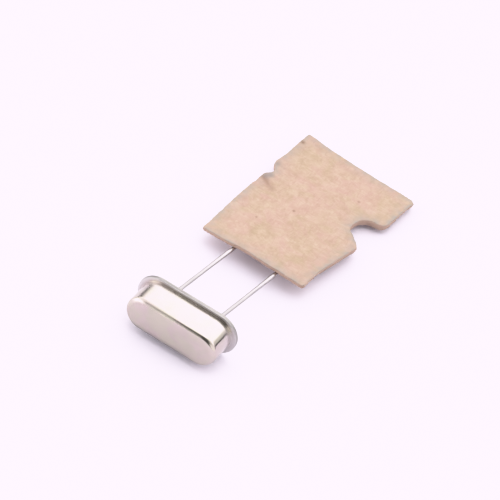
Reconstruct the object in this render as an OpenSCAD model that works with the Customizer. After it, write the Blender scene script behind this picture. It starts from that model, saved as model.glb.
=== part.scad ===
// Low-profile quartz crystal in a welded obround can, its two leads still held in a hand-cut
// piece of the paper tape that it was supplied on. It lies on one broad side, as it comes to
// rest: the foot of the flange and the far ends of the tape's two channels touch the surface.
//
// Every piece is drawn upright: x along the can, y across it, z up from the seating plane
// with the leads pointing down. lying() then lays the whole thing down, so that the leads
// run towards +Y. The origin is the middle of the seating face, between the leads.

/* [Can] */
// Length of the drawn can, without its flange
can_l = 10.0; // [9.6:0.1:12]
// Width of the drawn can, without its flange
can_w = 3.85; // [3.4:0.05:4.6]
// Height from the seating plane to the top of the can
can_h = 3.5; // [3.2:0.1:6]
// Thickness of the can's metal
can_wall = 0.2; // [0.12:0.02:0.3]
// Outside radius along the can's top edge
can_edge_r = 0.35; // [0.32:0.02:0.6]
// Radius in the corner between the can and its flange
root_r = 0.06; // [0.05:0.01:0.18]

/* [Flange and base] */
// How far the flange stands out from the can, at its ends
flange_out_l = 0.525; // [0.45:0.025:0.8]
// How far the flange stands out from the can, at its sides
flange_out_w = 0.4; // [0.35:0.05:0.8]
// Thickness of the can's half of the flange
lip_t = 0.2; // [0.12:0.02:0.3]
// Thickness of the base's half of the flange
rim_t = 0.2; // [0.12:0.02:0.4]
// Radius on the outer edges of the flange
flange_edge_r = 0.06; // [0.02:0.01:0.1]
// Thickness of the base inside the can
base_h = 0.95; // [0.6:0.05:1.2]
// Gap between the base and the inside of the can
base_gap = 0.05; // [0.03:0.01:0.1]

/* [Leads] */
// Distance between the two leads
lead_pitch = 4.88; // [4.4:0.04:5.4]
// Diameter of a lead
lead_d = 0.43; // [0.36:0.01:0.5]
// Straight stub of lead below the seating plane, before it leans
lead_stub = 0.5; // [0.3:0.1:2]
// Sideways lean of both leads, in degrees
lead_lean = 7.0; // [0:0.5:10]
// Radius at which a lead bends into its lean
lead_bend_r = 1.2; // [0.8:0.1:3]
// Distance from the seating plane to the near edge of the paper
lead_free = 10.3; // [6:0.1:16]
// Diameter of the flat head on the inner end of a lead
head_d = 0.8; // [0.6:0.05:0.9]
// Thickness of that head
head_t = 0.15; // [0.1:0.01:0.2]
// Height of that head above the base
head_lift = 0.12; // [0.05:0.01:0.2]
// Diameter of the glass bead that seals a lead into the base
seal_d = 1.3; // [1.1:0.05:1.6]
// Clearance round anything that passes through a hole
hole_gap = 0.01; // [0.005:0.005:0.03]

/* [Crystal and its springs] */
// Width of the quartz strip
blank_w = 2.0; // [1.4:0.1:2.2]
// Thickness of the quartz strip
blank_t = 0.2; // [0.1:0.02:0.3]
// Drawn thickness of the silver films
film_t = 0.02; // [0.01:0.01:0.04]
// Length of the broad part of a film
film_l = 4.6; // [3:0.1:5]
// Width of the broad part of a film
film_w = 1.5; // [1:0.1:1.6]
// Width of the tab from a film to one end of the strip
film_tab_w = 0.7; // [0.4:0.1:1]
// Thickness of the spring strip
spring_t = 0.08; // [0.05:0.01:0.12]
// Width of the spring strip
spring_w = 1.4; // [0.8:0.1:1.6]
// Height from a spring's foot to the shelf under the quartz
spring_rise = 0.6; // [0.3:0.05:1.2]
// Gap between the end of the quartz and the spring's upright end
end_gap = 0.12; // [0.08:0.02:0.2]
// Gap between the spring's upright end and the end of the can
spring_clear = 0.6; // [0.3:0.05:1]
// Radius of the bead of conductive cement
cement_r = 0.28; // [0.15:0.01:0.3]

/* [Paper tape] */
// Width of the carrier paper, across the roll's length
paper_w = 18.1; // [17:0.1:19]
// Thickness of the carrier paper
paper_t = 0.42; // [0.3:0.02:0.6]
// Turn of the paper in its own plane, in degrees
paper_skew = 1.7; // [0:0.1:4]
// Near edge, from the middle of the leads to the left corner
near_left = 6.0; // [5.8:0.1:7]
// Near edge, from the middle of the leads to the right corner
near_right = 5.4; // [5.3:0.1:7]
// Far edge, from the same line to the left corner
far_left = 5.35; // [4.9:0.05:7]
// Far edge, from the same line to the right corner
far_right = 7.6; // [7:0.05:9]
// Right edge at the feed holes' row, where its two cuts meet, from the same line
cuts_meet = 6.85; // [6.5:0.05:8]
// How far the left end of the near edge strays towards the can
near_stray = 0.3; // [0:0.05:0.5]
// How far the left end of the far edge strays away from the can
far_stray = 0.25; // [0:0.05:0.5]
// Diameter of the two feed holes that the cuts run through
feed_hole_d = 4.0; // [3.6:0.1:4.4]
// Distance from the paper's near edge to the feed holes' row
feed_row = 10.7; // [9:0.1:12]
// Middle of the right feed hole, from the middle of the leads
feed_right = 6.6; // [6.2:0.1:7.2]
// Distance between the two feed holes
feed_pitch = 13.55; // [13.2:0.05:14]
// Lip of paper left standing in the right feed hole, where the cut tore out of it
torn_lip = 0.3; // [0.1:0.05:0.6]
// Direction of that lip's edge, in degrees
torn_angle = 40; // [30:1:50]
// Width of the hold-down tape under the carrier paper
hold_w = 12.0; // [8:0.5:13]
// Distance from the paper's near edge to the hold-down tape
hold_from = 3.0; // [2:0.25:4]
// Thickness of the hold-down tape
hold_t = 0.16; // [0.1:0.02:0.24]
// Half the width of the channel that the tape makes over a lead
channel_half = 0.75; // [0.5:0.05:1]
// Bare end of the hold-down tape beyond the ends of the leads
lead_short = 0.9; // [0.4:0.1:2]

/* [Hidden] */
$fn = 64;

LEFT = -1;
RIGHT = 1;
cut = 0.1;                                        // how far a cutting shape runs past a face

flange_h = rim_t + lip_t;
flange_l = can_l + 2 * flange_out_l;
flange_w = can_w + 2 * flange_out_w;

lead_r = lead_d / 2;
foot_z = base_h + head_lift + head_t;             // top of a lead's head, where a spring is welded
shelf_z = foot_z + spring_rise;                   // underside of a spring's shelf
film_z = shelf_z + spring_t;                      // underside of the lower film
blank_z = film_z + film_t;                        // underside of the quartz
upright_x = can_l / 2 - can_wall - spring_clear - spring_t;    // inner face of its upright end
blank_l = 2 * (upright_x - end_gap);
upright_h = blank_t + 2 * film_t + cement_r;

bend_drop = lead_bend_r * sin(lead_lean);         // height and shift of the bend in a lead
bend_shift = lead_bend_r * (1 - cos(lead_lean));
lean_from = lead_stub + bend_drop;
paper_x = bend_shift + (lead_free - lean_from) * tan(lead_lean);
lead_end = hold_from + hold_w - lead_short;       // end of a lead, from the paper's near edge
lead_run = (lead_free + lead_end * cos(paper_skew) - lean_from) / cos(lead_lean);

channel_r = lead_r + hole_gap;
channel_slope = atan(channel_r / channel_half);   // half the slope of a channel's sides
channel_drop = channel_r + hold_t;                // bottom of a channel, from the lead's middle
channel_reach = lead_free + (hold_from + hold_w) * cos(paper_skew);
rest_tilt = atan((flange_w / 2 - channel_drop) / channel_reach);

// Lays the upright crystal down on one broad side, at the slope at which it rests.
module lying() rotate([90 - rest_tilt, 0, 0]) children();

// Carries a half profile, drawn from the middle outwards, round an obround of that length.
module obround(length, width) {
    straight = length - width;
    for (end = [LEFT, RIGHT])
        translate([end * straight / 2, 0, 0])
            rotate([0, 0, -90 * end])
                rotate_extrude(angle = 180)
                    children();
    rotate([90, 0, 90])
        linear_extrude(straight, center = true)
            for (side = [0, 1]) mirror([side, 0]) children();
}

// Half profile, with a rounded outer top corner.
module half_profile(width, from, to, r) {
    half = width / 2;
    translate([0, from]) square([half, to - from - r]);
    translate([0, from]) square([half - r, to - from]);
    translate([half - r, to - r]) circle(r);
}

// The can's own shape has two widths, one for the wall and one for the flange, and the
// flange stands out further at the ends, so each is carried round its own obround.
module can_outside() {
    obround(can_l, can_w) half_profile(can_w, rim_t, can_h, can_edge_r);
    obround(flange_l, flange_w) half_profile(flange_w, rim_t, flange_h, flange_edge_r);
    obround(can_l, can_w)
        difference() {
            translate([0, flange_h - cut]) square([can_w / 2 + root_r, root_r + cut]);
            translate([can_w / 2 + root_r, flange_h + root_r]) circle(root_r);
        }
}

// Drawn can of thin sheet, with rounded edges and a flange turned out at its mouth.
module can() color([0.80, 0.78, 0.73])
    difference() {
        can_outside();
        obround(can_l - 2 * can_wall, can_w - 2 * can_wall)
            half_profile(can_w - 2 * can_wall, rim_t - cut, can_h - can_wall, can_edge_r - can_wall);
    }

// Pressed base: a rim that is welded to the can's flange, and a thick middle that stands up
// inside the can and holds the two glass seals.
module base_plate() color([0.70, 0.68, 0.64]) {
    inner_l = can_l - 2 * can_wall - 2 * base_gap;
    inner_w = can_w - 2 * can_wall - 2 * base_gap;
    difference() {
        union() {
            translate([0, 0, rim_t]) mirror([0, 0, 1])
                obround(flange_l, flange_w) half_profile(flange_w, 0, rim_t, flange_edge_r);
            obround(inner_l, inner_w) half_profile(inner_w, rim_t / 2, base_h, flange_edge_r);
        }
        for (side = [LEFT, RIGHT])
            translate([side * lead_pitch / 2, 0, -cut])
                cylinder(h = base_h + 2 * cut, d = seal_d + 2 * hole_gap);
    }
}

// Glass bead, melted between a lead and the base.
module glass_seal(side) color([0.20, 0.26, 0.25])
    translate([side * lead_pitch / 2, 0, 0])
        difference() {
            cylinder(h = base_h, d = seal_d);
            translate([0, 0, -cut]) cylinder(h = base_h + 2 * cut, d = lead_d + 2 * hole_gap);
        }

// Wire with a flat head: straight through the glass, bent just outside it, then straight on
// into the tape.
module lead(side) color([0.72, 0.71, 0.70])
    translate([side * lead_pitch / 2, 0, 0]) {
        translate([0, 0, foot_z - head_t]) cylinder(h = head_t, d = head_d);
        translate([0, 0, -lead_stub]) cylinder(h = lead_stub + foot_z - head_t, d = lead_d);
        translate([lead_bend_r, 0, -lead_stub]) {
            rotate([-90, 0, 0])
                rotate([0, 0, 180 - lead_lean])
                    rotate_extrude(angle = lead_lean)
                        translate([lead_bend_r, 0]) circle(d = lead_d);
            rotate([0, -lead_lean, 0])
                translate([-lead_bend_r, 0, -lead_run])
                    cylinder(h = lead_run, d = lead_d);
        }
    }

// Spring strip: a foot welded on the lead's head, a slanting leg, a shelf under the end of
// the quartz, and an upright end that the cement grips.
module mount_spring(side) color([0.74, 0.72, 0.66]) {
    foot_in = lead_pitch / 2 - head_d / 2;
    foot_out = lead_pitch / 2 + head_d / 2;
    shelf_in = upright_x - 3 * end_gap - cement_r;
    mirror([side == LEFT ? 1 : 0, 0, 0])
        rotate([90, 0, 0])
            linear_extrude(spring_w, center = true)
                polygon([
                    [foot_in, foot_z],
                    [foot_out, foot_z],
                    [shelf_in, shelf_z],
                    [upright_x + spring_t, shelf_z],
                    [upright_x + spring_t, film_z + upright_h],
                    [upright_x, film_z + upright_h],
                    [upright_x, film_z],
                    [shelf_in - spring_t / 2, film_z],
                    [foot_out - spring_t / 2, foot_z + spring_t],
                    [foot_in, foot_z + spring_t]
                ]);
}

// Strip cut from a quartz bar, lying level above the base.
module quartz_blank() color([0.86, 0.89, 0.90])
    translate([-blank_l / 2, -blank_w / 2, blank_z]) cube([blank_l, blank_w, blank_t]);

// Silver film on one face of the quartz, with a tab to one end.
module electrode(side, z) color([0.85, 0.85, 0.84])
    translate([0, 0, z])
        linear_extrude(film_t) {
            square([film_l, film_w], center = true);
            translate([side > 0 ? 0 : -blank_l / 2, -film_tab_w / 2]) square([blank_l / 2, film_tab_w]);
        }

// Bead of conductive cement between the end of the quartz and the spring's upright end.
module cement(side) color([0.62, 0.62, 0.60])
    mirror([side == LEFT ? 1 : 0, 0, 0])
        rotate([90, 0, 0])
            linear_extrude(film_w, center = true) {
                translate([blank_l / 2, film_z]) square([end_gap, blank_t + 2 * film_t]);
                translate([upright_x, blank_z + blank_t + film_t])
                    intersection() {
                        circle(cement_r);
                        translate([-cement_r, 0]) square(cement_r);
                    }
            }

// Puts a shape drawn in the paper's own plane, x to the right and y away from the can, on
// the leads, and gives it a thickness upwards from the level given.
module in_paper(level, thickness)
    translate([paper_x, level + thickness, -lead_free])
        rotate([0, -paper_skew, 0])
            rotate([90, 0, 0])
                mirror([0, 1, 0])
                    linear_extrude(thickness)
                        children();

// Outline of the hand-cut piece. Each side is cut through one of the feed holes: the left with
// one straight cut, the right with one from each edge.
module paper_outline()
    difference() {
        polygon([
            [-near_left, -near_stray],
            [-near_left / 3, 0],
            [near_right, 0],
            [cuts_meet, feed_row],
            [far_right, paper_w],
            [-far_left, paper_w + far_stray]
        ]);
        translate([feed_right, feed_row])
            difference() {
                circle(d = feed_hole_d);
                rotate(-torn_angle) translate([-feed_hole_d, torn_lip - 1.5 * feed_hole_d])
                    square([2 * feed_hole_d, feed_hole_d]);
            }
        translate([feed_right - feed_pitch, feed_row]) circle(d = feed_hole_d);
    }

// Stiff brown carrier paper, on top of the leads.
module carrier_strip() color([0.80, 0.63, 0.47])
    in_paper(lead_r + hole_gap, paper_t) paper_outline();

// One face of the hold-down tape in section, square to the leads: flat, with a crease round
// each lead. The lower face follows the upper one at the tape's thickness below it.
function crease(x, below) =
    let (top_half = channel_half + below * tan(channel_slope),
         bottom_half = (channel_r + below) * tan(channel_slope))
    [
        [x - top_half, channel_r - below],
        [x - bottom_half, -channel_r - below],
        [x + bottom_half, -channel_r - below],
        [x + top_half, channel_r - below]
    ];
function hold_face(below) = concat(
    [[-paper_w / 2, channel_r - below]],
    crease(-lead_pitch / 2 * cos(lead_lean), below),
    crease(lead_pitch / 2 * cos(lead_lean), below),
    [[paper_w / 2, channel_r - below]]
);

module hold_section() {
    lower = hold_face(hold_t);
    polygon(concat(hold_face(0), [for (i = [len(lower) - 1:-1:0]) lower[i]]));
}

// Runs a section along the leads, from above the paper to below it.
module along_leads(from, to)
    translate([paper_x, 0, -lead_free])
        rotate([0, -lead_lean, 0])
            translate([0, 0, -to])
                linear_extrude(to - from)
                    children();

// Thin crepe tape that holds the leads up against the carrier paper.
module hold_down_tape() color([0.72, 0.60, 0.44])
    intersection() {
        along_leads(0, paper_w) hold_section();
        in_paper(-channel_drop - cut, channel_drop + channel_r + cut)
            intersection() {
                paper_outline();
                translate([-paper_w / 2, hold_from]) square([paper_w, hold_w]);
            }
    }

lying() can();
lying() base_plate();
lying() glass_seal(LEFT);  // left_glass_seal
lying() glass_seal(RIGHT);  // right_glass_seal
lying() lead(LEFT);  // left_lead
lying() lead(RIGHT);  // right_lead
lying() mount_spring(LEFT);  // left_mount_spring
lying() mount_spring(RIGHT);  // right_mount_spring
lying() quartz_blank();
lying() electrode(LEFT, blank_z + blank_t);  // upper_electrode
lying() electrode(RIGHT, film_z);  // lower_electrode
lying() cement(LEFT);  // left_cement
lying() cement(RIGHT);  // right_cement
lying() carrier_strip();
lying() hold_down_tape();
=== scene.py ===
import math

import bmesh
import bpy
import numpy as np
from mathutils import Matrix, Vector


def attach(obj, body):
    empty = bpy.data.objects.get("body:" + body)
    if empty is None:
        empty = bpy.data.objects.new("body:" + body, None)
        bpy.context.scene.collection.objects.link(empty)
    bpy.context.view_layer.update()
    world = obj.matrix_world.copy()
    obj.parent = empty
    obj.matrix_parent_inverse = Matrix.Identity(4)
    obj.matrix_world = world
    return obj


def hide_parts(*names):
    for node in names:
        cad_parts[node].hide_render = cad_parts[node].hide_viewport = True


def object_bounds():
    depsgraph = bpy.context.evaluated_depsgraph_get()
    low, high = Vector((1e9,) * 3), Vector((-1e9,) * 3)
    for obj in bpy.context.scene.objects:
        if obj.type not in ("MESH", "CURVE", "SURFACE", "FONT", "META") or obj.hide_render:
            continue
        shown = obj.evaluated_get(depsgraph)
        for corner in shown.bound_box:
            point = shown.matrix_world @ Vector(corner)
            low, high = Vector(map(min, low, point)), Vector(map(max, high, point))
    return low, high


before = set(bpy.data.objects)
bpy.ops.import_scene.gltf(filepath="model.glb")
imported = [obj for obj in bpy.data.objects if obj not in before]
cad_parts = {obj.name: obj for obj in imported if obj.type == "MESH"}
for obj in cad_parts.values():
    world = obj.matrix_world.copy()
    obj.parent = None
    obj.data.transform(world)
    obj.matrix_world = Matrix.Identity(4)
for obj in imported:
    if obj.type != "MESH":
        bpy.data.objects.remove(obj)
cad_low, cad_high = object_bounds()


# ---- Base ----------------------------------------------------------------------------------
# Pressed steel with a dull nickel plate. Its rim is welded to the can's flange, and its thick
# middle, which stands up inside the can, holds the two glass seals.

MM = 0.001


class Finish:
    """A material under construction: nodes are added by kind, and linked by socket name."""

    def __init__(self, name):
        self.material = bpy.data.materials.new(name)
        self.material.use_nodes = True
        self.nodes = self.material.node_tree.nodes
        self.links = self.material.node_tree.links
        self.shader = self.nodes["Principled BSDF"]
        self.place = self.nodes.new("ShaderNodeTexCoord").outputs["Object"]

    def add(self, kind, settings=None, **inputs):
        """Adds a node; an input that is a socket is linked, and any other is set."""
        node = self.nodes.new("ShaderNode" + kind)
        for name, value in (settings or {}).items():
            setattr(node, name, value)
        for name, value in inputs.items():
            self.feed(node.inputs[name.replace("_", " ")], value)
        return node

    def feed(self, socket, value):
        """Links a socket's value, or sets a plain one."""
        if isinstance(value, bpy.types.NodeSocket):
            self.links.new(value, socket)
        else:
            socket.default_value = value

    def set(self, **inputs):
        """Feeds the shader itself."""
        for name, value in inputs.items():
            self.feed(self.shader.inputs[name.replace("_", " ")], value)

    def speckle(self, size, detail=3.0, rough=0.5, stretch=(1, 1, 1), turn=(0, 0, 0), warp=0.0):
        """Noise between 0 and 1, whose grains are about that size in metres."""
        where = self.add("Mapping", Vector=self.place, Scale=stretch, Rotation=turn)
        return self.add("TexNoise", Vector=where.outputs[0], Scale=1 / size, Detail=detail,
                        Roughness=rough, Distortion=warp).outputs["Fac"]

    def spread(self, value, low, high, to_low, to_high):
        """Takes the range low to high of a value smoothly to another range."""
        return self.add("MapRange", {"interpolation_type": "SMOOTHSTEP"}, Value=value, **{
            "From_Min": low, "From_Max": high, "To_Min": to_low, "To_Max": to_high,
        }).outputs[0]

    def sum(self, *values):
        """The sum of values."""
        total = values[0]
        for value in values[1:]:
            node = self.nodes.new("ShaderNodeMath")
            self.feed(node.inputs[0], total)
            self.feed(node.inputs[1], value)
            total = node.outputs[0]
        return total

    def blend(self, share, first, second):
        """A colour between the first and the second."""
        node = self.nodes.new("ShaderNodeMix")
        node.data_type = "RGBA"
        share_at, first_at, second_at, result_at = 0, 6, 7, 2    # its sockets for colours
        self.feed(node.inputs[share_at], share)
        self.feed(node.inputs[first_at], first)
        self.feed(node.inputs[second_at], second)
        return node.outputs[result_at]

    def painted(self, name):
        """A value that the mesh carries for each of its points."""
        return self.add("Attribute", {"attribute_name": name}).outputs["Fac"]

    def relief(self, height, depth):
        """Bumps as deep as that, in metres, where the height goes from 0 to 1."""
        bump = self.add("Bump", Strength=1.0, Distance=depth, Height=height)
        previous = self.shader.inputs["Normal"].links
        if previous:
            self.links.new(previous[0].from_socket, bump.inputs["Normal"])
        self.feed(self.shader.inputs["Normal"], bump.outputs[0])


def wear(piece, finish):
    """Gives a piece its finish."""
    piece.data.materials.clear()
    piece.data.materials.append(finish.material)


def plated(name, tint, dull, rough):
    """Nickel plate: a metal tint, clouded slightly towards a duller one, with fine relief."""
    finish = Finish(name)
    clouds = finish.speckle(1.6 * MM, detail=4)
    grain = finish.speckle(0.25 * MM, detail=5)
    finish.set(Metallic=1.0, Base_Color=finish.blend(clouds, tint, dull),
               Roughness=finish.spread(grain, 0.3, 0.7, rough - 0.04, rough + 0.05))
    finish.relief(grain, 0.0008 * MM)
    return finish


base_finish = plated("base nickel", (0.42, 0.39, 0.38, 1), (0.34, 0.32, 0.315, 1), 0.42)
wear(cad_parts["base_plate"], base_finish)


# ---- Glass seals ---------------------------------------------------------------------------
# Dark green glass, melted in a ring between each lead and the base. It climbs a little where
# it wets the metal, so that each face is a shallow trough round the lead.

flange_width = 4.65
lead_free = 10.3
lead_pitch = 4.88
paper_skew = math.radians(1.7)
tape_thick, tape_end = 0.16, 15.0
channel_rise = 0.225
LEFT, RIGHT = -1, 1

# The crystal lies on the flange's lower edge and on the far ends of the two channels that the
# hold-down tape makes round the leads, so its leads slope down a little.
channel_depth = channel_rise + tape_thick
channel_far_end = lead_free + tape_end * math.cos(paper_skew)
rest_tilt = math.atan((flange_width / 2 - channel_depth) / channel_far_end)
laid_turn = math.pi / 2 - rest_tilt


def laid_down(x, y, z):
    """The crystal is drawn upright in millimetres, with its leads down, then laid on its side
    by a turn about x: 90 degrees less the slope at which it rests. Gives metres."""
    return MM * np.stack([x, y * math.cos(laid_turn) - z * math.sin(laid_turn),
                          y * math.sin(laid_turn) + z * math.cos(laid_turn)], axis=-1)


def surface(name, points, node, finish):
    """A closed piece from a grid of points, rows along it and columns round it. Each point is
    joined to the next in its row and column, the last column to the first, and points that
    coincide are merged, so that seams and poles close."""
    rows, columns = points.shape[:2]
    index = np.arange(rows * columns).reshape(rows, columns)
    index = np.concatenate([index, index[:, :1]], axis=1)
    quads = np.stack([index[:-1, :-1], index[:-1, 1:], index[1:, 1:], index[1:, :-1]], axis=-1)
    mesh = bpy.data.meshes.new(name)
    mesh.from_pydata(points.reshape(-1, 3).tolist(), [], quads.reshape(-1, 4).tolist())
    merged = bmesh.new()
    merged.from_mesh(mesh)
    bmesh.ops.remove_doubles(merged, verts=merged.verts, dist=1e-8)
    bmesh.ops.recalc_face_normals(merged, faces=merged.faces)
    merged.to_mesh(mesh)
    merged.free()
    mesh.shade_smooth()
    piece = bpy.data.objects.new(name, mesh)
    bpy.context.scene.collection.objects.link(piece)
    wear(piece, finish)
    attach(piece, "root")
    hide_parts(node)
    return piece


def ripple(points, size, seed, waves=24):
    """Smooth unevenness, mostly between -1 and 1: the mean of plane waves of about that
    length, whose directions and phases are drawn once from the seed."""
    draw = np.random.default_rng(seed)
    direction = draw.normal(size=(3, waves))
    direction /= np.linalg.norm(direction, axis=0)
    pace = 2 * math.pi / (size * draw.uniform(0.7, 1.4, waves))
    phase = draw.uniform(0, 2 * math.pi, waves)
    return np.sin(points @ (direction * pace) + phase).sum(axis=-1) / math.sqrt(waves)


seal_finish = Finish("seal glass")
seal_finish.set(Base_Color=seal_finish.blend(seal_finish.speckle(0.3 * MM),
                                             (0.010, 0.020, 0.019, 1), (0.022, 0.036, 0.034, 1)),
                Roughness=0.06)
seal_finish.relief(seal_finish.speckle(0.2 * MM), 0.004 * MM)


def circle(count):
    """A row of that many angles, evenly round a circle."""
    return np.linspace(0, 2 * math.pi, count, endpoint=False)[None, :]


# Across each face, from the lead to the base, the glass dips in a parabola: 4 times the place
# across, times what is left of it, is 1 midway.
seal_inner, seal_outer, seal_height = 0.225, 0.65, 0.95
trough = 0.09
seal_across, seal_round = 15, 72
across_seal = np.linspace(0, 1, seal_across)
seal_dip = trough * 4 * across_seal * (1 - across_seal)
seal_radius = seal_inner + (seal_outer - seal_inner) * across_seal
ring = np.concatenate([
    np.column_stack([seal_radius, seal_dip]),
    np.column_stack([seal_radius[::-1], seal_height - seal_dip[::-1]]),
])
for side, seal_name in ((LEFT, "left"), (RIGHT, "right")):
    # Each point of the ring's section is carried round a circle about the lead.
    around = circle(seal_round)
    radius, height = ring[:, 0][:, None], ring[:, 1][:, None]
    seal_points = laid_down(side * lead_pitch / 2 + radius * np.cos(around),
                            radius * np.sin(around), height + 0 * around)
    seal_points = np.concatenate([seal_points, seal_points[:1]])
    surface(seal_name + "_seal_ring", seal_points, seal_name + "_glass_seal",
            seal_finish)


# ---- Leads ---------------------------------------------------------------------------------
# Round wire with a flat head inside the can, bent just outside its seal and dipped in tin,
# whose skin is bright and never quite even.

lead_finish = plated("lead tin", (0.53, 0.50, 0.50, 1), (0.41, 0.38, 0.39, 1), 0.26)
run_out = lead_finish.add("SeparateXYZ", Vector=lead_finish.place).outputs["Y"]
lead_finish.set(Roughness=lead_finish.spread(run_out, 3 * MM, 9 * MM, 0.50, 0.24))

lead_radius = 0.215
lead_lean = math.radians(7)
lead_stub = 0.5
lead_in_paper = 14.1
bend_radius = 1.2
head_top, head_thick, head_radius = 1.22, 0.15, 0.4
soft_edge = 0.02
lead_stations, lead_round = 190, 40
bend_length = bend_radius * lead_lean
lean_from = lead_stub + bend_radius * math.sin(lead_lean)
lead_run = (lead_free + lead_in_paper * math.cos(paper_skew) - lean_from) / math.cos(lead_lean)
tin_skin, tin_skin_most = 0.006, 0.005

# The wire's length is measured down from the top of its head. Up to the bend its line is
# straight, in the bend it turns with the length, and after it it runs on at the full lean.
stations = np.concatenate([
    [0, 0, soft_edge, head_thick - soft_edge, head_thick, head_thick],
    np.linspace(head_thick + soft_edge, head_top + lead_stub + bend_length + lead_run,
                lead_stations),
])
stations = np.append(stations, stations[-1])
thickness = np.full(len(stations), lead_radius)
thickness[:6] = (0, head_radius - soft_edge, head_radius, head_radius,
                 head_radius - soft_edge, lead_radius)
thickness[-2:] = lead_radius - soft_edge, 0


def ramp(value, none, full):
    """0 up to one value, 1 past another, and straight between them."""
    return np.clip((value - none) / (full - none), 0, 1)


past_stub = stations - head_top - lead_stub
turned = ramp(past_stub, 0, bend_length) * lead_lean
straight_on = np.maximum(past_stub - bend_length, 0)
wire_x = bend_radius * (1 - np.cos(turned)) + straight_on * math.sin(lead_lean)
wire_z = (head_top - np.minimum(stations, head_top + lead_stub)
          - bend_radius * np.sin(turned) - straight_on * math.cos(lead_lean))
for side, lead_name in ((LEFT, "left"), (RIGHT, "right")):
    # A circle, square to the wire's line, is carried along it. The tin's ripples are twice as
    # long along the wire as round it, and they are only outside the can.
    around = circle(lead_round)
    run, lean, wire = stations[:, None], turned[:, None], thickness[:, None]
    unit = np.stack([np.cos(around) + 0 * run, np.sin(around) + 0 * run, run / 2 + 0 * around],
                    axis=-1)
    skin = tin_skin * ripple(unit, 1.8, seed=11 + side) * (run > head_top)
    radius = np.maximum(wire + np.minimum(skin, tin_skin_most) * (wire > lead_radius / 2), 0)
    lead_points = laid_down(
        side * lead_pitch / 2 + wire_x[:, None] + radius * np.cos(around) * np.cos(lean),
        radius * np.sin(around),
        wire_z[:, None] + radius * np.cos(around) * np.sin(lean))
    surface(lead_name + "_tinned_wire", lead_points, lead_name + "_lead",
            lead_finish)


# ---- Mount springs -------------------------------------------------------------------------
# Thin bright strip of nickel silver, with a foot spot welded on the head of a lead, a
# slanting leg, a shelf under the end of the quartz, and an upright end.

spring_finish = plated("spring strip", (0.72, 0.68, 0.60, 1), (0.60, 0.56, 0.48, 1), 0.15)
wear(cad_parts["left_mount_spring"], spring_finish)
wear(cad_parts["right_mount_spring"], spring_finish)


# ---- Quartz strip --------------------------------------------------------------------------
# A strip cut from a bar of clear quartz and finely lapped, so that it looks like lightly
# frosted glass. Its two ends lie on the springs.

quartz_finish = Finish("lapped quartz")
quartz_finish.set(Base_Color=(0.90, 0.93, 0.94, 1), Transmission_Weight=0.9, IOR=1.54,
                  Roughness=quartz_finish.spread(quartz_finish.speckle(0.05 * MM), 0.3, 0.7,
                                                 0.2, 0.35))
wear(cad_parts["quartz_blank"], quartz_finish)


# ---- Silver films --------------------------------------------------------------------------
# Thin silver, laid on both faces of the quartz through a mask. Each film has a broad middle
# and a tab to one end, where it meets a spring.

film_finish = plated("silver film", (0.86, 0.85, 0.82, 1), (0.78, 0.76, 0.72, 1), 0.18)
wear(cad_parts["upper_electrode"], film_finish)
wear(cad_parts["lower_electrode"], film_finish)


# ---- Cement --------------------------------------------------------------------------------
# Dull grey cement full of silver flakes, put on as a bead and set between each end of the
# quartz and its spring. It holds the quartz there and joins the film to the spring.

cement_finish = Finish("silver cement")
flakes = cement_finish.speckle(0.03 * MM, detail=2)
cement_finish.set(Base_Color=cement_finish.blend(flakes, (0.30, 0.30, 0.29, 1),
                                                 (0.50, 0.50, 0.48, 1)), Roughness=0.55)
cement_finish.relief(flakes, 0.01 * MM)
wear(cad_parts["left_cement"], cement_finish)
wear(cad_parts["right_cement"], cement_finish)


# ---- Can -----------------------------------------------------------------------------------
# Thin steel sheet, deep drawn to an obround cup with a flange turned out at its mouth, and
# plated with satin nickel. The weld squeezed the flange's edge slightly out of true.

can_finish = Finish("can nickel")
clouds = can_finish.speckle(1.8 * MM, detail=4, rough=0.6)
stain = can_finish.speckle(2.0 * MM, detail=4, rough=0.6, warp=0.6)
drawing = can_finish.speckle(0.35 * MM, detail=4, stretch=(1, 0.12, 1))
grain = can_finish.speckle(0.12 * MM, detail=3)
weld_mark_and_sheen, rim, rubbed, painted_contact_shade = (can_finish.painted(mark)
                            for mark in ("weld_mark_and_sheen", "rim", "rubbed", "painted_contact_shade"))
bright_nickel, dull_nickel = (0.512, 0.465, 0.412, 1), (0.440, 0.404, 0.354, 1)
yellowed, reddened, stain_share = (0.470, 0.440, 0.345, 1), (0.510, 0.415, 0.405, 1), 0.6
nickel = can_finish.blend(can_finish.spread(clouds, 0.35, 0.65, 0, 1), bright_nickel, dull_nickel)
nickel = can_finish.blend(can_finish.spread(stain, 0.35, 0.65, 0, 1),
                          can_finish.blend(stain_share, nickel, yellowed),
                          can_finish.blend(stain_share, nickel, reddened))
# Last the painted marks: the weld's matt mark, lighter also as a painted highlight; the darker
# sheared rim; and painted shade along the top's lower edge.
for mark, colour in ((weld_mark_and_sheen, (0.64, 0.61, 0.61, 1)), (rim, (0.38, 0.36, 0.355, 1)),
                     (painted_contact_shade, (0.20, 0.19, 0.20, 1))):
    nickel = can_finish.blend(mark, nickel, colour)
# The plate is duller towards the left end, where it is rubbed, and in the weld's mark.
across = can_finish.add("SeparateXYZ", Vector=can_finish.place).outputs["X"]
can_finish.set(Metallic=1.0, Base_Color=nickel, Roughness=can_finish.sum(
    can_finish.spread(can_finish.sum(clouds, drawing), 0.7, 1.3, 0.10, 0.16),
    can_finish.spread(across, -4.5 * MM, 3.5 * MM, 0.11, 0),
    can_finish.spread(rubbed, 0, 1, 0, 0.15),
    can_finish.spread(weld_mark_and_sheen, 0, 1, 0, 0.35)))
plate_relief = 0.0012 * MM
can_finish.relief(drawing, plate_relief)
can_finish.relief(grain, plate_relief)

wall_half, wall_spine = 1.925, 3.075
flange_half, flange_spine = flange_width / 2, 3.2
top, shoulder = 3.5, 0.5
flange_top, root, lip = 0.4, 0.012, 0.05
mouth, sheet = 0.2, 0.2
edge_up, edge_in = 0.01, 0.005
turn_steps, side_steps = 96, 72


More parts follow.
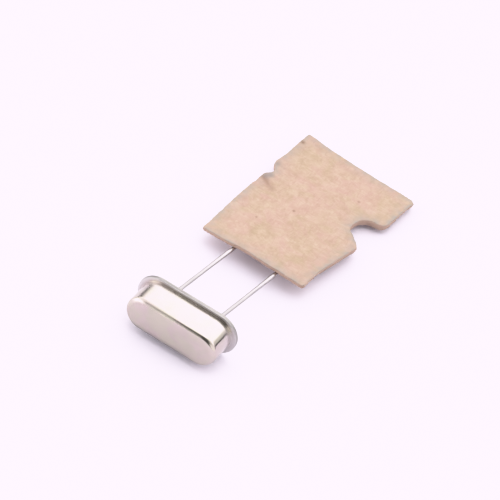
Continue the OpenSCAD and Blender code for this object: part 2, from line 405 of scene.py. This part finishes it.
def bend(middle, radius, start, end, count):
    """Points of a section along an arc, its angles in degrees."""
    angle = np.radians(np.linspace(start, end, count))
    return np.column_stack([middle[0] + radius * np.cos(angle),
                            middle[1] + radius * np.sin(angle)])


def leg(start, end, count):
    """Points of a section along a straight line, both ends left out."""
    return np.linspace(start, end, count + 2)[1:-1]


# The section, from the middle of the top out over the shoulder, down the wall, out along the
# flange and round its edge, and back up the inside.
section = np.concatenate([
    [[0, top]],
    leg((0, top), (wall_half - shoulder, top), 15),
    bend((wall_half - shoulder, top - shoulder), shoulder, 90, 0, 19),
    leg((wall_half, top - shoulder), (wall_half, flange_top + 2 * root), 24),
    [[wall_half, flange_top + 2 * root]],
    bend((wall_half + root, flange_top + root), root, 180, 270, 4),
    [[wall_half + 2 * root, flange_top]],
    leg((wall_half + 2 * root, flange_top), (flange_half - lip, flange_top), 6),
    bend((flange_half - lip, flange_top - lip), lip, 90, 0, 8),
    [[flange_half, mouth + edge_up], [flange_half - edge_in, mouth]],
    leg((flange_half - edge_in, mouth), (wall_half - sheet, mouth), 5),
    [[wall_half - sheet, mouth]],
    leg((wall_half - sheet, mouth), (wall_half - sheet, top - shoulder), 8),
    bend((wall_half - shoulder, top - shoulder), shoulder - sheet, 0, 90, 8),
    leg((wall_half - shoulder, top - sheet), (0, top - sheet), 6),
    [[0, top - sheet]],
])

# Round the can, each point of the section stands out from a spine along the can's middle: the
# spine's point runs from end to end on the straight sides and waits at the ends.
end_turn = np.linspace(-90, 90, turn_steps + 1)[:-1]
side_run = np.linspace(1, -1, side_steps + 1)[:-1]
facing = np.radians(np.concatenate([end_turn, 90 + 0 * side_run,
                                    end_turn + 180, 270 + 0 * side_run]))
along = np.concatenate([1 + 0 * end_turn, side_run, -1 + 0 * end_turn, -side_run])
offset, height = section[:, 0][:, None], section[:, 1][:, None]
spine = wall_spine + (flange_spine - wall_spine) * ramp(offset, wall_half, flange_half)
slope = np.gradient(section, axis=0)
slope /= np.linalg.norm(slope, axis=1)[:, None]
out_share, up_share = -slope[:, 1][:, None], slope[:, 0][:, None]


def can_at(offset, height):
    """The section's points carried round the can: out from the spine, and up."""
    return np.stack([spine * along + offset * np.cos(facing), offset * np.sin(facing),
                     height + 0 * facing], axis=-1)


# Drawn sheet is uneven by a few thousandths, square to its face: long swells, and shorter
# dents. They fade out at the spine, where both sides meet. The weld drew in the flange's edge
# by a few hundredths, in places.
swell, dent, drawn_in = 0.0035, 0.0012, 0.018
ideal = can_at(offset, height)
unevenness = swell * ripple(ideal, 3.2, seed=3) + dent * ripple(ideal, 1.1, seed=4)
unevenness *= ramp(offset, 0, 0.3)
weld_spread = drawn_in * ripple(ideal, 2.6, seed=5) * ramp(offset - wall_half - root, 0, 0.25)
can_points = can_at(offset + unevenness * out_share - np.abs(weld_spread),
                    height + unevenness * up_share)
can = surface("drawn_can", laid_down(*np.moveaxis(can_points, -1, 0)), "can",
              can_finish)


def stood_up(piece):
    """The points of a piece in millimetres, with laid_down's turn undone."""
    points = np.empty(len(piece.data.vertices) * 3)
    piece.data.vertices.foreach_get("co", points)
    x, y, z = (points.reshape(-1, 3) / MM).T
    return (x, y * math.cos(laid_turn) + z * math.sin(laid_turn),
            z * math.cos(laid_turn) - y * math.sin(laid_turn))


def paint(piece, name, values):
    """Gives each point of a piece a value, for its finish to read."""
    piece.data.attributes.new(name, "FLOAT", "POINT").data.foreach_set(
        "value", np.clip(values, 0, 1).astype(np.float32))


x, depth, up_can = stood_up(can)
from_wall = np.hypot(np.maximum(np.abs(x) - wall_spine, 0), depth) - wall_half
to_rim = flange_half - np.hypot(np.maximum(np.abs(x) - flange_spine, 0), depth)

# The weld left a matt mark on the flange. The same paint, lighter than the plate and so also a
# painted highlight, fades up the wall from it, most of all at the lower right end, where the plate
# mirrors the dark opening.
heat_mark_and_sheen = (0.3 * np.exp((flange_top - up_can) / 2) + 0.6 * np.exp((flange_top - up_can) / 0.5)
          * ramp(x, 3.6, 4.2) * ramp(depth, 1.3, 0.8))
paint(can, "weld_mark_and_sheen", np.maximum(ramp(from_wall, 0.10, 0.24), heat_mark_and_sheen))

# Painted shade, standing in for the floor's contact shadow mirrored in the plate, lies along the
# lower edge of the top, and less of it at the ends.
paint(can, "painted_contact_shade", 0.7 * ramp(depth, -1.15, -1.75) * (up_can > top - shoulder - 0.2)
      * np.interp(x, [-4.6, -3.6, 1.5, 3.5], [0.3, 1, 1, 0.1]))

# Handling rubbed the rounded shoulder, more towards the left.
paint(can, "rubbed", np.minimum(up_can - top + shoulder + 0.1, 2 * (from_wall + shoulder)) / 0.3
      * np.interp(x, [-3.5, 2.5], [1, 0]))

# The flange's sheared rim is darker.
paint(can, "rim", ramp(to_rim, 0.05, 0.02))


# ---- Carrier paper -------------------------------------------------------------------------
# Stiff brown kraft board, cut by hand on both sides, through two of the roll's feed holes.
# Its corners are worn round, its cut edges fuzzy, and it is creased at the left hole.

paper_x = bend_radius * (1 - math.cos(lead_lean)) + (lead_free - lean_from) * math.tan(lead_lean)
paper_width, paper_across = 18.3, 12
board_under = lead_radius + 0.01
board_thick = 0.42
board_rows, board_columns = 216, 134
board_fuzz = 0.022
rim_edge = -0.05

# The outline, as places along each edge, and millimetres to the right of the middle of the
# leads and away from the can.
near_edge = np.array([
    (0.000, -5.95, -0.20), (0.008, -5.86, -0.25), (0.030, -5.60, -0.29), (0.070, -5.15, -0.31),
    (0.120, -4.60, -0.30), (0.265, -2.90, -0.17), (0.355, -1.90, -0.02), (0.620, 1.20, 0.02),
    (0.930, 4.75, 0.04), (0.975, 5.20, 0.05), (0.994, 5.40, 0.09), (1.000, 5.46, 0.15)])
far_edge = np.array([
    (0.000, -5.28, 18.28), (0.010, -5.15, 18.31), (0.045, -4.70, 18.31), (0.170, -3.10, 18.20),
    (0.410, 0.00, 18.08), (0.690, 3.60, 18.05), (0.940, 6.85, 18.04), (0.977, 7.32, 17.98),
    (1.000, 7.60, 17.72)])
left_edge = np.array([
    (0.000, -5.95, -0.20), (0.006, -5.98, -0.10), (0.025, -5.99, 0.20), (0.052, -5.98, 0.70),
    (0.460, -5.80, 8.34), (0.503, -5.73, 9.10), (0.535, -5.70, 9.72), (0.553, -5.69, 10.10),
    (0.572, -5.62, 10.45), (0.588, -5.38, 10.73), (0.604, -5.16, 11.02), (0.622, -5.10, 11.36),
    (0.640, -5.16, 11.70), (0.664, -5.42, 12.08), (0.684, -5.66, 12.40), (0.702, -5.71, 12.78),
    (0.724, -5.64, 13.20), (0.945, -5.40, 17.30), (0.985, -5.35, 17.98), (0.996, -5.31, 18.21),
    (1.000, -5.28, 18.28)])
right_edge = np.array([
    (0.000, 5.46, 0.15), (0.006, 5.48, 0.24), (0.060, 5.50, 1.33), (0.155, 5.60, 3.01),
    (0.235, 5.85, 4.44), (0.315, 6.12, 5.86), (0.395, 6.38, 7.33), (0.445, 6.55, 8.19),
    (0.462, 6.52, 8.48), (0.475, 6.34, 8.72), (0.497, 5.89, 9.11), (0.525, 5.38, 9.55),
    (0.555, 4.82, 9.98), (0.573, 4.67, 10.32), (0.593, 4.66, 10.73), (0.632, 4.78, 11.51),
    (0.656, 5.04, 12.02), (0.676, 5.52, 12.44), (0.694, 6.04, 12.58), (0.712, 6.55, 12.66),
    (0.730, 7.01, 12.87), (0.748, 7.23, 13.32), (0.775, 7.28, 13.97), (0.850, 7.37, 15.43),
    (0.950, 7.51, 17.10), (0.990, 7.585, 17.58), (1.000, 7.60, 17.72)])


def through(knots, where):
    """A smooth curve through knots: between two of them it is the cubic whose slope at each
    is that of the outline round it."""
    place, points = knots[:, 0], knots[:, 1:]
    slope = np.gradient(points, place, axis=0)
    before = np.clip(np.searchsorted(place, where, side="right") - 1, 0, len(place) - 2)
    span = (place[before + 1] - place[before])[:, None]
    share = (where - place[before])[:, None] / span
    return ((1 + 2 * share) * (1 - share) ** 2 * points[before]
            + share * (1 - share) ** 2 * span * slope[before]
            + share ** 2 * (3 - 2 * share) * points[before + 1]
            - share ** 2 * (1 - share) * span * slope[before + 1])


def on_paper(up, over):
    """Points of the sheet from two places, up its length and over its width: the blend of the
    left and right edges, plus that of the near and far ones, less that of the four corners."""
    left, right = through(left_edge, up)[:, None], through(right_edge, up)[:, None]
    near, far = through(near_edge, over)[None], through(far_edge, over)[None]
    up, over = up[:, None, None], over[None, :, None]
    corners = ((1 - up) * ((1 - over) * near_edge[0, 1:] + over * near_edge[-1, 1:])
               + up * ((1 - over) * far_edge[0, 1:] + over * far_edge[-1, 1:]))
    return (1 - over) * left + over * right + (1 - up) * near + up * far - corners


def outward(edge, where, side):
    """The direction square to an edge, out of the sheet: a quarter turn from the step between
    two places close to each other on it."""
    step = 0.004
    along = (through(edge, np.clip(where + step, 0, 1))
             - through(edge, np.clip(where - step, 0, 1)))
    along /= np.linalg.norm(along, axis=1)[:, None]
    return side * np.column_stack([along[:, 1], -along[:, 0]])


def curl(sideways, away):
    """How far the sheet's sides droop or lift, beyond the leads that hold its middle flat: by
    the square of the distance past them, times a droop that lessens along each side."""
    held_half, side_width, most = 3.3, 2.7, 1.6
    from_middle = np.abs(sideways - away * math.tan(lead_lean - paper_skew))
    reach = np.clip((from_middle - held_half) / side_width, 0, most) ** 2
    left_droop, right_droop = -0.13 + 0.011 * away, -0.06 + 0.009 * away
    return reach * np.where(sideways < 0, left_droop, right_droop)


def in_paper(sideways, away, height):
    """From the sheet's own axes, in millimetres, to the frame's metres: a turn by the sheet's
    skew about the point between the leads at its near edge, then laid_down."""
    return laid_down(paper_x + sideways * math.cos(paper_skew) + away * math.sin(paper_skew),
                     height,
                     -lead_free + sideways * math.sin(paper_skew) - away * math.cos(paper_skew))


def sheet_points(up, over, rim, top, bottom, rough):
    """A sheet as a closed grid. Each row goes over the top, down the right side, back under
    the bottom and up the left side; the rows beyond both ends close it, as the sides do, by
    stepping out and sinking to the middle. rim is the steps of a side: out, and height from
    1 at the top to -1 at the bottom. top and bottom give the two faces' heights, and rough is
    how far the fuzz of the cut edges shifts the points."""
    # Across the sheet: the place over its width, the step out, and the share of its height.
    rim_out, rim_height = rim[:, 0], rim[:, 1]
    zero, one = np.zeros(len(rim)), np.ones(len(rim))
    over_all = np.concatenate([over, one, over[::-1], zero])
    out = np.concatenate([0 * over, rim_out, 0 * over, rim_out[::-1]])
    out[[0, len(over) - 1, len(over) + len(rim), 2 * len(over) + len(rim) - 1]] = rim_edge
    high = np.concatenate([1 + 0 * over, rim_height, -1 + 0 * over, rim_height[::-1]])

    # Along the sheet: the same three, with the rows that close its two ends.
    half = rim[rim_height >= 0]
    end_out = np.append(half[:, 0], 0.0)
    end_high = np.append(half[:, 1], 0.0)
    up_all = np.concatenate([up[0] + 0 * end_out, up, up[-1] + 0 * end_out])
    end_steps = np.concatenate([end_out[::-1], [rim_edge], 0 * up[1:-1], [rim_edge], end_out])
    end_share = np.concatenate([end_high[::-1], 1 + 0 * up, end_high])

    # The outline, with the steps out taken square to its edges.
    flat = on_paper(up_all, over_all)
    right_out = outward(right_edge, up_all, 1)[:, None]
    left_out = outward(left_edge, up_all, -1)[:, None]
    near_out = outward(near_edge, over, 1)
    far_out = outward(far_edge, over, -1)
    spread = np.concatenate([np.arange(len(over)), 0 * zero + len(over) - 1,
                             np.arange(len(over))[::-1], 0 * zero]).astype(int)
    is_right = (over_all > 0.5)[None, :, None]
    flat = flat + out[None, :, None] * np.where(is_right, right_out, left_out)
    is_far = (up_all > 0.5 * (up[0] + up[-1]))[:, None, None]
    flat = flat + end_steps[:, None, None] * np.where(is_far, far_out[spread][None],
                                                      near_out[spread][None])
    share = high[None, :] * end_share[:, None]

    # The fuzz of the cut edges, in tufts and single strands, which dies away inwards.
    from_side = np.minimum(over_all, 1 - over_all)[None, :] * paper_across
    from_end = np.minimum(up_all - up[0], up[-1] - up_all)[:, None] * paper_width
    fuzz_reach, tuft, strand, strand_share = 0.35, 0.9, 0.35, 0.6
    fuzz = np.exp(-np.minimum(from_side, from_end) / fuzz_reach)
    spot = np.dstack([flat, 0.3 * share])
    flat = flat + rough * fuzz[..., None] * np.dstack([
        ripple(spot, tuft, seed) + strand_share * ripple(spot, strand, seed + 1)
        for seed in (21, 23)])

    # The two faces, and between them the height's share, on the curled sheet.
    sideways, away = flat[..., 0], flat[..., 1]
    upper, lower = top(sideways, away), bottom(sideways, away)
    height = (upper + lower) / 2 + share * (upper - lower) / 2 + curl(sideways, away)
    return in_paper(sideways, away, height)


def from_line(sideways, away, start, end):
    """How far a point is from a short line: from the foot of the square dropped on it, kept
    between its ends."""
    run = np.subtract(end, start)
    past_x, past_y = sideways - start[0], away - start[1]
    share = np.clip((past_x * run[0] + past_y * run[1]) / (run @ run), 0, 1)
    return np.hypot(past_x - share * run[0], past_y - share * run[1])


def near_spot(sideways, away, spot, size):
    """A bell: 1 at a spot, and falling to 0 within about twice its size."""
    return np.exp(-(((sideways - spot[0]) ** 2 + (away - spot[1]) ** 2) / size ** 2))


# The crease's two lines, and the specks, scuffs and dimple, each with its size. The sides cut
# through the two feed holes. The rim is soft at both edges, and bulges a little between them.
crease = ((-5.35, 9.90), (-4.50, 9.35)), ((-4.50, 9.35), (-3.80, 9.00))
specks = ((-0.65, 8.03), 0.14), ((-5.13, 16.82), 0.22), ((3.4, 13.9), 0.10), ((-2.9, 4.6), 0.09)
scuffs = ((-5.35, 10.20), 0.40), ((-4.95, 10.60), 0.30), ((-5.38, 12.40), 0.30)
dimple = (-5.14, 5.96), 0.35
feed_holes, feed_radius = ((-6.95, 10.7), (6.6, 10.7)), 2.0
board_rim = np.array([(-0.012, 0.88), (0.0, 0.6), (0.01, 0.2), (0.01, -0.2), (0.0, -0.6),
                      (-0.012, -0.88)])


def creased(sideways, away, width):
    """A bell across the crease: 1 at its outer end, 0.4 at its inner end, and 0 beside it."""
    near = np.minimum(from_line(sideways, away, *crease[0]), from_line(sideways, away, *crease[1]))
    return np.exp(-(near / width) ** 2) * np.interp(sideways, [-5.3, -3.8], [1, 0.4])


def burr(sideways, away):
    """How far the punch pushed the edge of a feed hole down: a bell across the edge."""
    burr_deep, burr_width = 0.13, 0.30
    near = np.min([np.abs(np.hypot(sideways - x, away - y) - feed_radius)
                   for x, y in feed_holes], axis=0)
    return burr_deep * np.exp(-(near / burr_width) ** 2)


crease_deep, crease_under, dimple_deep, speck_deep = 0.09, 0.05, 0.05, 0.03


def board_top(sideways, away):
    """The face's height: level, with fibre lumps, the crease, the specks and a dimple."""
    spot = np.stack([sideways, away, 0 * away], axis=-1)
    lumps = (0.006 * ripple(spot * (1, 0.6, 1), 1.3, seed=31)
             + 0.004 * ripple(spot, 0.45, seed=32))
    dents = (crease_deep * creased(sideways, away, 0.27)
             + dimple_deep * near_spot(sideways, away, *dimple))
    for place, size in specks:
        dents = dents + speck_deep * near_spot(sideways, away, place, size)
    return board_under + board_thick + lumps - dents


def board_bottom(sideways, away):
    """The underside's height: level, with the crease and the holes' burrs."""
    return board_under - crease_under * creased(sideways, away, 0.22) - burr(sideways, away)


kraft_finish = Finish("kraft board")
mottle = kraft_finish.speckle(2.4 * MM, detail=4, rough=0.55, warp=0.8)
shade = kraft_finish.speckle(1.3 * MM, detail=3, warp=0.4)
cloud = kraft_finish.speckle(0.6 * MM, detail=6, rough=0.7)
fibres = kraft_finish.speckle(0.6 * MM, detail=4, rough=0.6, stretch=(0.6, 1.5, 1), warp=1.2)
cross_fibres = kraft_finish.speckle(0.6 * MM, detail=4, rough=0.6, stretch=(1.5, 0.6, 1),
                                    turn=(0, 0, 0.5), warp=1.2)

# Green-brown and red-brown patches, lighter clouds and fibres over them, then darker fibres
# the other way, and last the marks that the mesh carries.
green_brown, red_brown = (0.402, 0.298, 0.204, 1), (0.452, 0.297, 0.246, 1)
kraft_colour = kraft_finish.blend(kraft_finish.spread(mottle, 0.35, 0.65, 0, 1),
                                  green_brown, red_brown)
for pattern, none, full, share, colour in (
        (shade, 0.35, 0.70, 0.5, (0.505, 0.370, 0.290, 1)),
        (cloud, 0.40, 0.70, 0.5, (0.520, 0.380, 0.300, 1)),
        (fibres, 0.46, 0.70, 0.24, (0.610, 0.475, 0.385, 1)),
        (cross_fibres, 0.46, 0.72, 0.30, (0.330, 0.215, 0.155, 1))):
    kraft_colour = kraft_finish.blend(kraft_finish.spread(pattern, none, full, 0, share),
                                      kraft_colour, colour)
for mark, colour in (("core", (0.415, 0.288, 0.228, 1)), ("wear", (0.350, 0.296, 0.262, 1)),
                     ("bruise_and_crease_shade", (0.19, 0.105, 0.065, 1)), ("scuff", (0.255, 0.215, 0.205, 1))):
    kraft_colour = kraft_finish.blend(kraft_finish.painted(mark), kraft_colour, colour)
kraft_finish.set(Base_Color=kraft_colour, Specular_IOR_Level=0.25,
                 Roughness=kraft_finish.spread(cloud, 0.3, 0.7, 0.72, 0.9))
kraft_finish.relief(kraft_finish.sum(fibres, cross_fibres), 0.015 * MM)

board = surface("kraft_board",
                sheet_points(np.linspace(0, 1, board_rows), np.linspace(0, 1, board_columns),
                             board_rim, board_top, board_bottom, board_fuzz),
                "carrier_strip", kraft_finish)


def read_paper_places(piece):
    """Each point of a piece back in the sheet's own axes: the turns of in_paper undone."""
    x, height, down = stood_up(piece)
    x, down = x - paper_x, down + lead_free
    return (x * math.cos(paper_skew) + down * math.sin(paper_skew),
            x * math.sin(paper_skew) - down * math.cos(paper_skew), height)


# The cut sides show the board's core. The face is worn grey near its edges, dark at the specks,
# darker along the crease as crushed fibres and painted shade in its fold, and scuffed beside the
# left hole.
sideways, away, height = read_paper_places(board)
height = height - curl(sideways, away)
skin_deep = 0.03
on_side = np.clip((board_under + board_thick - skin_deep - height) / skin_deep, 0, 1)
paint(board, "core", on_side)
spot = np.column_stack([sideways, away, 0 * away])
edge_places = np.linspace(0, 1, 240)
outline = np.concatenate([through(edge, edge_places)
                          for edge in (near_edge, far_edge, left_edge, right_edge)])
from_edge = np.min(np.hypot(sideways[:, None] - outline[None, :, 0],
                            away[:, None] - outline[None, :, 1]), axis=1)
wear_most, wear_reach = 1.1, 0.5
worn = wear_most * np.exp(-from_edge / wear_reach) * (0.8 + 0.35 * ripple(spot, 0.8, seed=41))
paint(board, "wear", worn * (1 - on_side))
# Dark along the crease, partly painted shade in its fold, and dark at the specks.
bruised_and_crease_shaded = 0.5 * creased(sideways, away, 0.42)
for place, size in specks:
    bruised_and_crease_shaded = bruised_and_crease_shaded + 0.8 * near_spot(sideways, away, place, size)
paint(board, "bruise_and_crease_shade", bruised_and_crease_shaded)
scuffed = sum(0.7 * near_spot(sideways, away, place, size) for place, size in scuffs)
paint(board, "scuff", scuffed)


# ---- Hold-down tape ------------------------------------------------------------------------
# Thin crepe paper tape with a sticky face, pressed against the carrier paper from below and
# creased round each lead. Its fine wrinkles run across its length.

tape_start = 3.0
tape_rows, tape_columns = 90, 220
tape_fuzz, tape_gap, crepe_lift = 0.012, 0.004, 0.006
channel_half = 0.75
side_lean = channel_rise / channel_half


def tape_face(sideways, away, below):
    """One face of the tape: flat under the board, and round each lead a channel with straight
    sides. The other face is the same shape, set off square to it by the tape's thickness."""
    x = sideways * math.cos(paper_skew) + away * math.sin(paper_skew)
    down = away * math.cos(paper_skew) - sideways * math.sin(paper_skew)
    levels = []
    for side in (LEFT, RIGHT):
        across = np.abs((x - side * lead_pitch / 2 - down * math.tan(lead_lean))
                        * math.cos(lead_lean))
        levels.append(np.interp(across, [(channel_rise + below) * side_lean,
                                         channel_half + below * side_lean],
                                [-channel_rise - below, channel_rise - below]))
    return np.minimum(*levels)


def crepe(sideways, away):
    """The wrinkles: short in the tape's length, which crosses the leads, and long across it."""
    spot = np.stack([sideways, 0.22 * away, 0 * away], axis=-1)
    return 0.010 * ripple(spot, 0.55, seed=51) + 0.006 * ripple(spot, 0.3, seed=52)


def tape_top(sideways, away):
    """The upper face, a hair under the board, and pushed down by the holes' burrs."""
    return tape_face(sideways, away, tape_gap) - burr(sideways, away)


def tape_bottom(sideways, away):
    """The lower face, at the tape's thickness, with the wrinkles."""
    return (tape_face(sideways, away, tape_thick) - burr(sideways, away)
            + crepe_lift + crepe(sideways, away))


tape_finish = Finish("crepe tape")
tape_cloud = tape_finish.speckle(0.8 * MM, detail=5)
tape_lines = tape_finish.speckle(0.25 * MM, detail=4, stretch=(1.6, 0.25, 1), warp=0.6)
tape_colour = tape_finish.blend(tape_cloud, (0.35, 0.24, 0.19, 1), (0.44, 0.315, 0.26, 1))
tape_finish.set(Base_Color=tape_finish.blend(tape_finish.spread(tape_lines, 0.5, 0.7, 0, 0.6),
                                             tape_colour, (0.28, 0.185, 0.145, 1)),
                Roughness=0.62)
tape_finish.relief(tape_lines, 0.02 * MM)
tape_rim = np.array([(0.0, 0.7), (0.0, 0.0), (0.0, -0.7)])
surface("crepe_tape",
        sheet_points(np.linspace(tape_start / paper_width, tape_end / paper_width, tape_rows),
                     np.linspace(0, 1, tape_columns), tape_rim, tape_top, tape_bottom,
                     tape_fuzz),
        "hold_down_tape", tape_finish)


# ---- Floor, light and camera ---------------------------------------------------------------
# A plain pale floor in a white tent, bright overhead, behind and at the left. The can mirrors
# a dark gap low behind it and a round dark opening on the camera's side as its dark lines,
# and two low cards at the front as its bright ones. The open floor is lit to just over white.

floor_z = cad_low.z
floor_half = 0.6
floor_mesh = bpy.data.meshes.new("floor")
floor_mesh.from_pydata(
    [(x * floor_half, y * floor_half, floor_z) for x, y in ((-1, -1), (1, -1), (1, 1), (-1, 1))],
    [], [(0, 1, 2, 3)])
floor = bpy.data.objects.new("floor", floor_mesh)
bpy.context.scene.collection.objects.link(floor)
floor_finish = Finish("pale floor")
floor_finish.set(Base_Color=floor_finish.blend(floor_finish.speckle(60 * MM),
                                               (0.880, 0.825, 0.935, 1), (0.890, 0.835, 0.945, 1)),
                 Roughness=0.9, Specular_IOR_Level=0.1)
wear(floor, floor_finish)

tent = bpy.data.worlds.new("tent")
tent.use_nodes = True
sky = tent.node_tree
sky.nodes.clear()


def sky_math(operation, *values):
    """A maths node of the tent's light, fed with sockets or numbers."""
    node = sky.nodes.new("ShaderNodeMath")
    node.operation = operation
    for socket, value in zip(node.inputs, values):
        if isinstance(value, bpy.types.NodeSocket):
            sky.links.new(value, socket)
        else:
            socket.default_value = value
    return node.outputs[0]


direction = sky.nodes.new("ShaderNodeSeparateXYZ")
sky.links.new(sky.nodes.new("ShaderNodeTexCoord").outputs["Generated"], direction.inputs[0])
to_x, to_y, to_z = direction.outputs
elevation = sky_math("MULTIPLY", sky_math("ARCSINE", to_z), 180 / math.pi)
azimuth = sky_math("MULTIPLY", sky_math("ARCTAN2", to_x, to_y), 180 / math.pi)


def sky_step(angle, start, end):
    """0 below one angle, in degrees, 1 above the other, and smooth between them."""
    node = sky.nodes.new("ShaderNodeMapRange")
    node.interpolation_type = "SMOOTHSTEP"
    for name, value in (("From Min", start), ("From Max", end)):
        node.inputs[name].default_value = value
    sky.links.new(angle, node.inputs["Value"])
    return node.outputs[0]


def sky_patch(around, half_width, soft, low, high, edge):
    """A patch of the tent: azimuths near one angle, between two elevations, soft-edged."""
    turned = sky_math("WRAP", sky_math("SUBTRACT", azimuth, around), 180, -180)
    across = sky_math("SUBTRACT", 1, sky_step(sky_math("ABSOLUTE", turned), half_width,
                                              half_width + soft))
    up = sky_math("MULTIPLY", sky_step(elevation, low, low + edge),
                  sky_math("SUBTRACT", 1, sky_step(elevation, high, high + edge)))
    return sky_math("MULTIPLY", across, up)


def sky_disc(around, up, full, none):
    """A round patch of the tent about one direction, full out to one angle, none past another."""
    around, up = math.radians(around), math.radians(up)
    along = sky_math("ADD", sky_math("MULTIPLY", to_x, math.cos(up) * math.sin(around)),
                     sky_math("ADD", sky_math("MULTIPLY", to_y, math.cos(up) * math.cos(around)),
                              sky_math("MULTIPLY", to_z, math.sin(up))))
    apart = sky_math("MULTIPLY", sky_math("ARCCOSINE", along), 180 / math.pi)
    return sky_math("SUBTRACT", 1, sky_step(apart, full, none))


def sky_towards(value, patch, glow):
    """Brings the brightness to another inside a patch, and part of the way at its soft edge."""
    change = sky_math("MULTIPLY", patch, sky_math("SUBTRACT", glow, value))
    return sky_math("ADD", value, change)


# The tent's patches, in degrees round from straight behind and up from the horizon, and their
# brightness. Each is laid over those before it.
brightness = 1.15
for patch, glow in (
        (sky_patch(-100, 50, 20, -5, 60, 10), 1.6),     # the left wall
        (sky_patch(85, 25, 15, -5, 25, 10), 1.05),      # the right wall, low down
        (sky_patch(10, 65, 15, 18, 95, 8), 2.42),       # the back wall
        (sky_patch(-25, 37, 25, -20, 10, 8), 0.06),     # the gap low behind, at its left
        (sky_patch(40, 22, 20, -20, 4, 8), 0.10),       # and at its right
        (sky_step(elevation, 66, 78), 2.7),             # the roof
        (sky_disc(170, 37, 24, 44), 0.14),              # the opening on the camera's side
        (sky_patch(112, 28, 12, -20, 24, 10), 1.6),     # the card at the front right
        (sky_patch(-122, 33, 12, -20, 26, 10), 3.4)):   # the card at the front left
    brightness = sky_towards(brightness, patch, glow)

# Seen directly, past the floor's edge, the tent is only a plain pale backdrop.
tent_light = sky.nodes.new("ShaderNodeBackground")
tent_light.inputs["Color"].default_value = (1.0, 0.985, 0.99, 1)
sky.links.new(brightness, tent_light.inputs["Strength"])
plain_back = sky.nodes.new("ShaderNodeBackground")
plain_back.inputs["Color"].default_value = (1.5, 1.4, 1.6, 1)
seen = sky.nodes.new("ShaderNodeMixShader")
sky.links.new(sky.nodes.new("ShaderNodeLightPath").outputs["Is Camera Ray"], seen.inputs[0])
sky.links.new(tent_light.outputs[0], seen.inputs[1])
sky.links.new(plain_back.outputs[0], seen.inputs[2])
sky.links.new(seen.outputs[0], sky.nodes.new("ShaderNodeOutputWorld").inputs["Surface"])
bpy.context.scene.world = tent

# The picture's tones: even up to light grey, then bending over to a white that is faintly
# lavender.
response = bpy.context.scene.view_settings
response.view_transform = "Standard"
response.use_curve_mapping = True
brightest_light = 2.0
response.curve_mapping.white_level = [brightest_light] * 3
paper_white = (0.985, 0.915, 1.0)
for curve, white in zip(response.curve_mapping.curves, paper_white):
    curve.points[0].location = 0, 0
    curve.points[1].location = 1, white
    for light, tone in ((0.35, 0.35), (0.60, 0.60), (0.85, 0.84), (1.05, 0.96), (1.30, 1.0)):
        curve.points.new(light * white / brightest_light, tone * white)
response.curve_mapping.update()

# The camera stands well back with a long lens. It looks down from in front of the can, a
# little to its right, and is rolled.
camera_aim = (-0.05 * MM, 11.66 * MM, -1.32 * MM)
camera_distance = 347.0 * MM
camera_azimuth = math.radians(19.89)
camera_elevation = math.radians(48.10)
camera_roll = math.radians(16.0)
camera_lens = 259.2

camera_data = bpy.data.cameras.new("camera")
camera_data.lens = camera_lens
camera_data.clip_start = 0.01
camera_data.clip_end = 10
camera = bpy.data.objects.new("camera", camera_data)
bpy.context.scene.collection.objects.link(camera)
ahead = np.array([-math.sin(camera_azimuth), math.cos(camera_azimuth), 0])
aside = np.array([math.cos(camera_azimuth), math.sin(camera_azimuth), 0])
upright = np.array([0, 0, 1.0])
forward = math.cos(camera_elevation) * ahead - math.sin(camera_elevation) * upright
above = math.sin(camera_elevation) * ahead + math.cos(camera_elevation) * upright
right = math.cos(camera_roll) * aside + math.sin(camera_roll) * above
above = math.cos(camera_roll) * above - math.sin(camera_roll) * aside
stand = np.array(camera_aim) - camera_distance * forward
camera.matrix_world = Matrix(np.vstack(
    [np.column_stack([right, above, -forward, stand]), [0, 0, 0, 1]]).tolist())
bpy.context.scene.camera = camera
